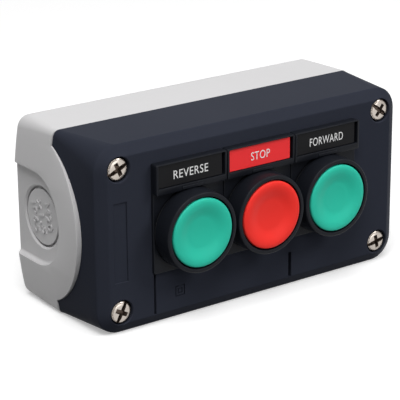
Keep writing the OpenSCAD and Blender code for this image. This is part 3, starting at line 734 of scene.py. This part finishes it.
def base_rings():
    """Outline rings of the base from its rounded back edge to past the arch."""
    rings = []
    steps = 6
    for i in range(steps + 1):
        t = math.radians(90 * i / steps)
        inset = BACK_EDGE_R * (1 - math.sin(t))
        d = BACK_EDGE_R * (1 - math.cos(t))
        rings.append(ring_at(outline(HALF_L - inset, HALF_H - inset, BACK_CORNER_R - inset,
                                     CROWN_R - inset), d))
    for d, corner_r in ((JOINT * 0.5, 0.5 * (BACK_CORNER_R + BASE_CORNER_R)),
                        (JOINT, BASE_CORNER_R), (ARCH_TOP + OVER, BASE_CORNER_R)):
        rings.append(ring_at(outline(HALF_L, HALF_H, corner_r, CROWN_R), d))
    return rings


def recess_tool(side):
    """Tool for the recess in one end: a U open to the wall, with a filleted floor."""
    def u_shape(inset, x):
        r = RECESS_R - inset
        edge = arc((RECESS_D, 0), r, -90, 90, 32)
        return [point(side * x, d, z) for d, z in [(-OVER, -r)] + edge + [(-OVER, r)]]

    rings = []
    steps = 4
    for i in range(steps + 1):
        t = math.radians(90 * i / steps)
        rings.append(u_shape(RECESS_SOFT * (1 - math.sin(t)),
                             RECESS_X + RECESS_SOFT * (1 - math.cos(t))))
    rings.append(u_shape(0, HALF_L + 2 * OVER))
    return loft("recess_tool", rings)


def entry_tool(side):
    """Tool for the groove and chamfer round the closed cable entry, and the disc's small sink."""
    groove_r = ENTRY_R + ENTRY_GROOVE
    rim_x = RECESS_X - ENTRY_SINK
    outside = RECESS_X + OVER
    soft = 0.1
    above_floor = 0.02
    profile = [(TIP_R, outside), (ENTRY_CHAMFER_R + OVER, outside),
               (ENTRY_CHAMFER_R, RECESS_X + above_floor),
               (groove_r + soft, rim_x), (groove_r, rim_x - soft), (groove_r, ENTRY_GROOVE_X),
               (ENTRY_R, ENTRY_GROOVE_X), (ENTRY_R, ENTRY_FACE_X - ENTRY_EDGE),
               (ENTRY_R - ENTRY_EDGE, ENTRY_FACE_X), (TIP_R, ENTRY_FACE_X)]
    return end_turned("entry_tool", profile, side, ENTRY_D)


def cavity_tool(name, d0, d1, corner_r, column_r):
    """Tool for the inside of a half of the box, which leaves a column round each cover screw."""
    tool = prism(name, outline(INNER_X, INNER_Z, corner_r), d0, d1)
    for sx in (-1, 1):
        for sz in (-1, 1):
            cut(tool, disc_tool("column", sx * SCREW_X, sz * SCREW_Z, column_r, d0 - 1, d1 + 1))
    return tool


def on_arch(radius):
    """Test for an edge on the outer rim of the arch."""
    touch, along = 0.02, 0.6

    def near(x, d, z):
        on_circle = abs(math.hypot(d - ARCH_D, z) - radius) < touch
        return on_circle and abs(x) > INNER_X + 1 and d > JOINT - 0.01

    def test(a, b):
        return near(*a) and near(*b) and abs(a[0] - b[0]) < along
    return test


def on_recess_lip(a, b):
    """Test for an edge where the recess meets the outside of an end."""
    touch, below_outside, above_floor = 0.05, 3.2, 0.9

    def near(x, d, z):
        outside = HALF_L - CROWN_R + math.sqrt(CROWN_R ** 2 - z * z)
        reach = abs(z) if d < RECESS_D else math.hypot(d - RECESS_D, z)
        return (abs(reach - RECESS_R) < touch and abs(x) > outside - below_outside
                and abs(x) > RECESS_X + above_floor)
    return near(*a) and near(*b)


def make_base():
    """Light grey base: crowned ends, arches, recesses, closed entries and fixing holes."""
    base = loft("base_shell", base_rings())
    beyond = HALF_L + OVER
    cut(base, side_prism("cover_space", arch_polygon(ARCH_R, ARCH_TOP + 4 * OVER),
                         -beyond, beyond))
    cut(base, cavity_tool("base_cavity", WALL, ARCH_TOP + 3 * OVER, BASE_CAVITY_CORNER_R, BOSS_R))
    for side in (-1, 1):
        cut(base, recess_tool(side))
    soften_edges(base, on_recess_lip, RECESS_LIP_SOFT)
    for side in (-1, 1):
        cut(base, entry_tool(side))
    soften_edges(base, on_arch(ARCH_R), RIM_SOFT)
    for sx in (-1, 1):
        for sz in (-1, 1):
            cut(base, disc_tool("fix_hole", sx * FIX_X, sz * FIX_Z, FIX_R, -1, WALL + 1, 32))
            cut(base, disc_tool("screw_hole", sx * SCREW_X, sz * SCREW_Z, SCREW_R + FIT_GAP,
                                SCREW_END - 1, JOINT + 1, 32))
    return dress(base, GREY, "station", ["base_box"])


def counterbore_tool(x, z):
    """Tool for one cover screw: a flared counterbore and the hole through the column."""
    hole_r = SCREW_R + 0.2
    mouth_r = COUNTERBORE_R + COUNTERBORE_FLARE
    above_front = 0.01
    profile = [(hole_r, JOINT - 1), (hole_r, COUNTERBORE_FLOOR),
               (COUNTERBORE_R, COUNTERBORE_FLOOR), (COUNTERBORE_R, FRONT - COUNTERBORE_FLARE),
               (mouth_r, FRONT + above_front), (mouth_r, FRONT + OVER)]
    return turned("counterbore_tool", profile, x, z, 64)


def make_cover():
    """Dark cover: drafted sides, one bevel all round, three holes and the marks in its front."""
    back_x = COVER_X - END_DRAFT
    flat_x, flat_z = back_x - BEVEL_X, HALF_H - BEVEL_Z
    joint = ring_at(outline(COVER_X, HALF_H, BASE_CORNER_R, CROWN_R), JOINT)
    back = ring_at(outline(back_x, HALF_H, COVER_CORNER_R), FRONT - BEVEL_D)
    front = ring_at(outline(flat_x, flat_z, FRONT_CORNER_R), FRONT)
    inward = 6.0
    inner = ring_at(outline(flat_x - inward, flat_z - inward, 1.0), FRONT)
    side_share = (0, 0.2, 0.4, 0.6, 0.8)
    rings = [between(joint, back, share) for share in side_share]
    rings += rounded(joint, back, front, BEVEL_SOFT)
    rings += rounded(back, front, inner, FRONT_SOFT)
    cover = loft("cover_shell", rings)
    for sx in (-1, 1):
        for sz in (-1, 1):
            cut(cover, counterbore_tool(sx * SCREW_X, sz * SCREW_Z))
    for x in BUTTON_X.values():
        cut(cover, disc_tool("head_hole", x, 0, PANEL_HOLE_R, PANEL - 1, FRONT + 1))
    for slot, (x0, x1, z0, z1, depth) in SLOTS.items():
        cut(cover, flared_slot(slot, x0, x1, z0, z1, FRONT - depth, SLOT_FLARE))
    for half in (MARK_W / 2, MARK_W / 4):
        core = half - MARK_LINE
        tool = prism("mark", rectangle(MARK_X - half, MARK_X + half, MARK_Z - half, MARK_Z + half),
                     FRONT - MARK_DEPTH, FRONT + 1)
        cut(tool, prism("mark_core", rectangle(MARK_X - core, MARK_X + core, MARK_Z - core,
                                               MARK_Z + core), FRONT - 1, FRONT + OVER))
        cut(cover, tool)
    cut(cover, cavity_tool("cover_cavity", JOINT - 1, PANEL, COVER_CAVITY_CORNER_R, COLUMN_R))
    for side in (-1, 1):
        arch = arc((ARCH_D, 0), ARCH_R + ARCH_GAP, 0, 360, 160)[:-1]
        x0, x1 = sorted((side * (INNER_X - ARCH_GAP), side * (HALF_L + OVER)))
        cut(cover, side_prism("arch_tool", arch, x0, x1))
    return dress(cover, DARK, "station", ["cover"])


def make_cover_screws():
    """Nickel-plated screws with slotted and crossed, slightly domed heads, and painted shade inside
    the drive recesses.
    """
    under = HEAD_TOP - HEAD_H
    head_r = HEAD_R - HEAD_SLIM
    dome = ((0.0, 0.9), (0.12, 0.55), (0.5, 0.24), (1.4, 0.06))
    point_r, point_l = SCREW_R - 0.7, 0.8
    profile = [(point_r, SCREW_END), (SCREW_R, SCREW_END + point_l), (SCREW_R, under),
               (head_r, under)]
    profile += [(head_r - inset, HEAD_TOP - drop) for inset, drop in dome]
    profile.append((TIP_R, HEAD_TOP))
    cutters = ((HEAD_R + 0.5, 0.62, DRIVE_DEPTH), (0.72, 2.5, CROSS_DEPTH), (2.5, 0.72, CROSS_DEPTH))
    made = []
    for (sx, sz), turn in SCREW_TURN.items():
        x, z = sx * SCREW_X, sz * SCREW_Z
        screw = turned("cover_screw", profile, x, z, 64)
        spin = math.radians(turn)

        def bar(half_long, half_wide, d):
            corners = rectangle(-half_long, half_long, -half_wide, half_wide)
            return ring_at([(x + px * math.cos(spin) - pz * math.sin(spin),
                             z + px * math.sin(spin) + pz * math.cos(spin))
                            for px, pz in corners], d)

        for half_long, half_wide, depth in cutters:
            flare = (half_long + DRIVE_FLARE, half_wide + DRIVE_FLARE)
            cut(screw, loft("drive", [bar(half_long, half_wide * 0.8, HEAD_TOP - depth),
                                      bar(half_long, half_wide, HEAD_TOP - 0.2),
                                      bar(*flare, HEAD_TOP + FIT_GAP), bar(*flare, HEAD_TOP + 1)]))
        made.append(screw)
    screws = join(made[0], *made[1:])
    screws.name = "cover_screw_set"
    dress(screws, NICKEL, "station", ["cover_screws"])
    screws.data.materials.append(NICKEL_PAINTED_SHADE)
    # Faces inside each drive recess take the darker nickel: painted shade for the shadow that falls
    # in the recess.
    deepest, rim = 2.0, 0.3
    for face in screws.data.polygons:
        x, d, z = face.center.x / MM, -face.center.y / MM, face.center.z / MM
        reach = math.hypot(abs(x) - SCREW_X, abs(z) - SCREW_Z)
        if HEAD_TOP - deepest < d < HEAD_TOP - rim and reach < head_r - rim:
            face.material_index = 1
    return screws


def soft_profile(points, radii, steps=4):
    """Closed profile with its corners rounded: each point has its own radius, 0 for sharp."""
    out = []
    count = len(points)
    for i, (p, radius) in enumerate(zip(points, radii)):
        if not radius:
            out.append(p)
            continue
        before = Vector(points[i - 1]) - Vector(p)
        after = Vector(points[(i + 1) % count]) - Vector(p)
        a = Vector(p) + before.normalized() * min(radius, before.length * 0.49)
        b = Vector(p) + after.normalized() * min(radius, after.length * 0.49)
        for k in range(steps + 1):
            t = k / steps
            q = a * (1 - t) ** 2 + Vector(p) * 2 * t * (1 - t) + b * t ** 2
            out.append((q.x, q.y))
    return out


def make_bezel(name):
    """Black bezel: a rounded rim in front, the bore for the sleeve and the tube behind."""
    points = [(STEM_HOLE_R, TUBE_END), (TUBE_R, TUBE_END), (TUBE_R, GASKET_TOP),
              (FOOT_R, GASKET_TOP), (RIM_R, RIM_TOP), (CAVITY_R, RIM_TOP),
              (CAVITY_R, BEZEL_FLOOR), (LIP_POCKET_R, BEZEL_FLOOR), (LIP_POCKET_R, LIP_SEAT),
              (BORE_R, LIP_SEAT), (BORE_R, FLANGE), (STEM_HOLE_R, FLANGE)]
    radii = [0, 0.4, 0, 0.4, 0.6, 0.3, 0, 0, 0, 0, 0, 0]
    bezel = turned(name + "_bezel", soft_profile(points, radii), BUTTON_X[name], 0, 128,
                   hollow=True)
    return dress(bezel, BLACK, "station", [name + "_head_bezel"])


def make_cap(name):
    """Coloured cap: a small round at the edge, a broad crest and a smooth shallow dish."""
    cap_r = CAP_R - CAP_GAP
    top = CAP_TOP - CAP_GAP
    back_edge, crest_rise = 0.3, 0.12
    profile = [(cap_r - back_edge, CAP_BACK), (cap_r, CAP_BACK + back_edge)]
    profile += arc((cap_r - CAP_EDGE_R, top - crest_rise - CAP_EDGE_R), CAP_EDGE_R, 0, 78, 8)
    edge_r, edge_d = profile[-1]
    crest_r = CREST_SHARE * cap_r
    bottom_r = BOTTOM_SHARE * cap_r
    steps = 10
    for i in range(1, steps + 1):
        t = i / steps
        profile.append((edge_r + (crest_r - edge_r) * t,
                        edge_d + (top - edge_d) * math.sin(math.pi / 2 * t)))
    steps = 16
    for i in range(1, steps + 1):
        t = i / steps
        drop = 0.5 - 0.5 * math.cos(math.pi * t)
        profile.append((crest_r + (bottom_r - crest_r) * t, top - SLOPE_SHARE * CAP_DISH * drop))
    steps = 8
    for i in range(1, steps + 1):
        t = i / steps
        drop = SLOPE_SHARE + (1 - SLOPE_SHARE) * t * (2 - t)
        profile.append((max(bottom_r * (1 - t), TIP_R), top - CAP_DISH * drop))
    cap = turned(name + "_cap", profile, BUTTON_X[name], 0, 128)
    material = RED_CAP if name == "stop" else GREEN_CAP
    return dress(cap, material, name + "_button", [name + "_button_cap"], smooth=50)


def soft_box_rings(x0, x1, z0, z1, levels, corner_r):
    """Rings of a rounded rectangle at several depths: levels are (depth, inset) pairs."""
    rings = []
    cx, cz = (x0 + x1) / 2, (z0 + z1) / 2
    smallest_r = 0.08
    for d, inset in levels:
        points = outline((x1 - x0) / 2 - inset, (z1 - z0) / 2 - inset,
                         max(corner_r - inset, smallest_r),
                         end_steps=2, corner_steps=4, long_steps=2)
        rings.append(ring_at([(cx + x, cz + z) for x, z in points], d))
    return rings


def make_holder(name):
    """Legend holder: a thin plate under the bezel and a raised frame with a pocket and a tab."""
    x = BUTTON_X[name]
    half = HOLDER_W / 2
    corner_r = 0.6
    plate = loft(name + "_holder", soft_box_rings(
        x - half, x + half, -HOLDER_BELOW, HOLDER_ABOVE,
        [(FRONT, 0.0), (PLATE_TOP - PLATE_SOFT, 0.0),
         (PLATE_TOP - PLATE_SOFT / 3, PLATE_SOFT / 3), (PLATE_TOP, PLATE_SOFT)], corner_r))
    into_plate = 0.3
    outer = soft_box_rings(x - half, x + half, FRAME_FROM, HOLDER_ABOVE,
                           [(PLATE_TOP - into_plate, 0.0), (FRAME_TOP - FRAME_SOFT, 0.0),
                            (FRAME_TOP - FRAME_SOFT * 0.3, FRAME_SOFT * 0.3),
                            (FRAME_TOP, FRAME_SOFT)], corner_r)
    pocket, mouth, pocket_r = LEGEND_POCKET_L / 2, 0.15, 0.3
    inner = soft_box_rings(x - pocket, x + pocket, LEGEND_Z - LEGEND_H / 2 - LEGEND_GAP,
                           LEGEND_Z + LEGEND_H / 2 + LEGEND_GAP,
                           [(FRAME_TOP, -mouth), (FRAME_TOP - mouth, 0.0), (PLATE_TOP, 0.0)],
                           pocket_r)
    add(plate, loft("frame_part", outer + inner))
    cut(plate, disc_tool("bezel_clear", x, 0, FOOT_R + 0.3, PLATE_TOP, FRAME_TOP + 1, 128))
    cut(plate, disc_tool("tube_hole", x, 0, PANEL_HOLE_R, FRONT - 1, PLATE_TOP + 1))
    tab_soft = 0.15
    tab = loft("finger_tab", soft_box_rings(
        x - TAB_HALF_W, x + TAB_HALF_W, *TAB_Z,
        [(FRAME_TOP - 0.2, 0.0), (FRAME_TOP + TAB_H - tab_soft, 0.0),
         (FRAME_TOP + TAB_H, tab_soft)], 0.3))
    join(plate, tab)
    return dress(plate, BLACK, "station", [name + "_legend_holder"])


def word_mesh(name, text, width, height, thickness):
    """Letters as a mesh in a plane of constant depth, centred, of the given size."""
    curve = bpy.data.curves.new(name, "FONT")
    curve.body = text
    curve.align_x = "CENTER"
    curve.align_y = "CENTER"
    curve.extrude = 0.02
    curve.resolution_u = 6
    curve.space_character = 1.08
    obj = new_object(name, curve)
    mesh = evaluated_mesh(obj)
    bpy.data.objects.remove(obj)
    xs = [v.co.x for v in mesh.vertices]
    ys = [v.co.y for v in mesh.vertices]
    zs = [v.co.z for v in mesh.vertices]
    sizes = [(max(c) - min(c), (max(c) + min(c)) / 2) for c in (xs, ys, zs)]
    for v in mesh.vertices:
        v.co = Vector([(c - middle) / span * target for c, (span, middle), target
                       in zip(v.co, sizes, (width, height, thickness))])
    return new_object(name, mesh)


def stand_letters(obj, x, d, z):
    """Turns letters from the drawing plane to face the buttons' side, at a place."""
    for v in obj.data.vertices:
        px, pz, out = v.co
        v.co = point(x + px, d + out, z + pz)
    return obj


def make_legend(name):
    """Legend plate with its function word in white."""
    x = BUTTON_X[name] + LEGEND_SHIFT
    half = LEGEND_L / 2
    low, high = LEGEND_Z - LEGEND_H / 2, LEGEND_Z + LEGEND_H / 2
    seat, soft = 0.02, 0.15
    plate = loft(name + "_legend", soft_box_rings(
        x - half, x + half, low, high,
        [(PLATE_TOP + seat, 0.0), (LEGEND_TOP - soft, 0.0), (LEGEND_TOP, soft)], 0.35))
    material = RED_LEGEND if name == "stop" else BLACK_LEGEND
    dress(plate, material, "station", [name + "_legend_plate"])
    word = word_mesh(name + "_word", name.upper(), WORD_WIDTH[name], LETTER_H, 2 * LETTER_T)
    stand_letters(word, BUTTON_X[name] + WORD_SHIFT_X, LEGEND_TOP, LEGEND_Z + WORD_SHIFT_Z)
    dress(word, WHITE_INK, "station")
    return plate


def make_entry_words():
    """Raised thread size and protection class on each closed cable entry."""
    tilt = math.radians(ENTRY_WORD_TILT)
    for side, end in ((-1, "left"), (1, "right")):
        for text, offset, width in ENTRY_WORDS:
            name = f"entry_mark_{end}_{text.replace('.', '_')}"
            word = word_mesh(name, text, width, ENTRY_WORD_H, ENTRY_WORD_T)
            for v in word.data.vertices:
                px, pz, out = v.co
                pz += offset
                along = px * math.cos(tilt) - pz * math.sin(tilt)
                up = px * math.sin(tilt) + pz * math.cos(tilt)
                v.co = point(side * (ENTRY_FACE_X + out), ENTRY_D - side * along, up)
            dress(word, GREY, "station")


def dress_inner_nodes():
    """Materials for the solids inside the box, which keep their CAD shape."""
    by_ending = {
        "_push_sleeve": WHITE_PLASTIC, "_return_spring": SPRING_STEEL, "_lip_seal": RUBBER,
        "_flange_gasket": RUBBER, "_fixing_nut": BLACK, "_contact_housing": BLUE_PLASTIC,
        "_contact_floor": BLUE_PLASTIC, "_contact_plunger": WHITE_PLASTIC,
        "_contact_bridge": COPPER_ALLOY, "_contact_spring": SPRING_STEEL,
        "_contact_terminals": BRASS, "_terminal_screws": NICKEL,
        "cover_seal": RUBBER, "screw_sealing_rings": RUBBER,
    }
    for node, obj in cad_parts.items():
        for ending, material in by_ending.items():
            if node.endswith(ending):
                obj.data.materials.clear()
                obj.data.materials.append(material)


# Camera, lights and surroundings

LIT_PLACE = Vector((0, -0.04, 0))


def make_camera():
    """Camera at the photo's place: fitted to the screws, cap rims and edges of the box."""
    place = Vector((-0.3612, -0.5246, 0.2117))
    target = Vector((-0.02449, -0.054, 0.00822))
    roll = math.radians(-0.51)
    data = bpy.data.cameras.new("camera")
    data.lens = 158.9
    data.sensor_width = 36.0
    data.clip_start = 0.01
    data.clip_end = 20.0
    camera = new_object("camera", data)
    turn = (target - place).to_track_quat("-Z", "Y").to_matrix().to_4x4()
    camera.matrix_world = Matrix.Translation(place) @ turn @ Matrix.Rotation(roll, 4, "Z")
    bpy.context.scene.camera = camera


def area_light(name, place, size, power):
    """A soft rectangular white light that looks at the middle of the object."""
    data = bpy.data.lights.new(name, "AREA")
    data.shape = "RECTANGLE"
    data.size, data.size_y = size
    data.energy = power
    lamp = new_object(name, data)
    lamp.location = place
    lamp.rotation_euler = (LIT_PLACE - Vector(place)).to_track_quat("-Z", "Y").to_euler()


def white_for_sight(tree, plain, bright):
    """Strength that is bright for camera, glossy and transmission rays, plain for the others."""
    path = tree.nodes.new("ShaderNodeLightPath")
    seen = maths(tree, "MAXIMUM", path.outputs["Is Camera Ray"], path.outputs["Is Glossy Ray"])
    seen = maths(tree, "MAXIMUM", seen, path.outputs["Is Transmission Ray"])
    return spread(tree, seen, plain, bright)


def make_world():
    """Even white surroundings."""
    world = bpy.data.worlds.new("studio")
    bpy.context.scene.world = world
    world.use_nodes = True
    tree = world.node_tree
    background = tree.nodes["Background"]
    background.inputs["Color"].default_value = (1.0, 1.0, 1.0, 1.0)
    tree.links.new(white_for_sight(tree, 0.16, 1.0), background.inputs["Strength"])


def make_floor():
    """Pale floor that keeps the object's shadow and goes over into plain white further off."""
    size = 6.0
    level = cad_box[0].z - 0.0002
    bm = bmesh.new()
    corners = [bm.verts.new((x, y, level)) for x, y in
               ((-size, -size), (size, -size), (size, size), (-size, size))]
    bm.faces.new(corners)
    mesh = bpy.data.meshes.new("floor")
    bm.to_mesh(mesh)
    bm.free()
    floor = new_object("floor", mesh)
    material, tree, shader = new_material("pale_floor")
    place = tree.nodes.new("ShaderNodeTexCoord").outputs["Object"]
    length = tree.nodes.new("ShaderNodeVectorMath")
    length.operation = "LENGTH"
    tree.links.new(place, length.inputs[0])
    near, reach = 0.25, 0.6
    away = maths(tree, "MULTIPLY", maths(tree, "SUBTRACT", length.outputs["Value"], near),
                 1 / reach, clamp=True)
    grey = white_for_sight(tree, 0.12, spread(tree, away, 0.86, 0.0))
    colour = tree.nodes.new("ShaderNodeCombineColor")
    for channel in ("Red", "Green", "Blue"):
        tree.links.new(grey, colour.inputs[channel])
    tree.links.new(colour.outputs["Color"], shader.inputs["Base Color"])
    shader.inputs["Emission Color"].default_value = (1, 1, 1, 1)
    glow = white_for_sight(tree, 0.0, spread(tree, away, 0.35, 1.0))
    tree.links.new(glow, shader.inputs["Emission Strength"])
    shader.inputs["Roughness"].default_value = 0.9
    shader.inputs["Specular IOR Level"].default_value = 0.1
    mesh.materials.append(material)


def make_lights():
    """Soft light from above and the upper left, a box at the right and a weak fill in front."""
    area_light("overhead", (-0.25, -0.2, 1.1), (0.9, 0.8), 7.5)
    area_light("upper_left", (-0.6, -0.75, 1.1), (0.6, 0.6), 7.0)
    area_light("front_right", (0.82, -0.92, 0.89), (0.45, 0.45), 6.5)
    area_light("front_fill", (0.3, -1.3, 0.25), (0.8, 0.6), 3.0)


make_camera()
make_world()
make_floor()
make_lights()

make_base()
make_cover()
make_cover_screws()
for button in BUTTONS:
    make_bezel(button)
    make_cap(button)
    make_holder(button)
    make_legend(button)
make_entry_words()
dress_inner_nodes()

bpy.context.scene.view_settings.view_transform = "Standard"
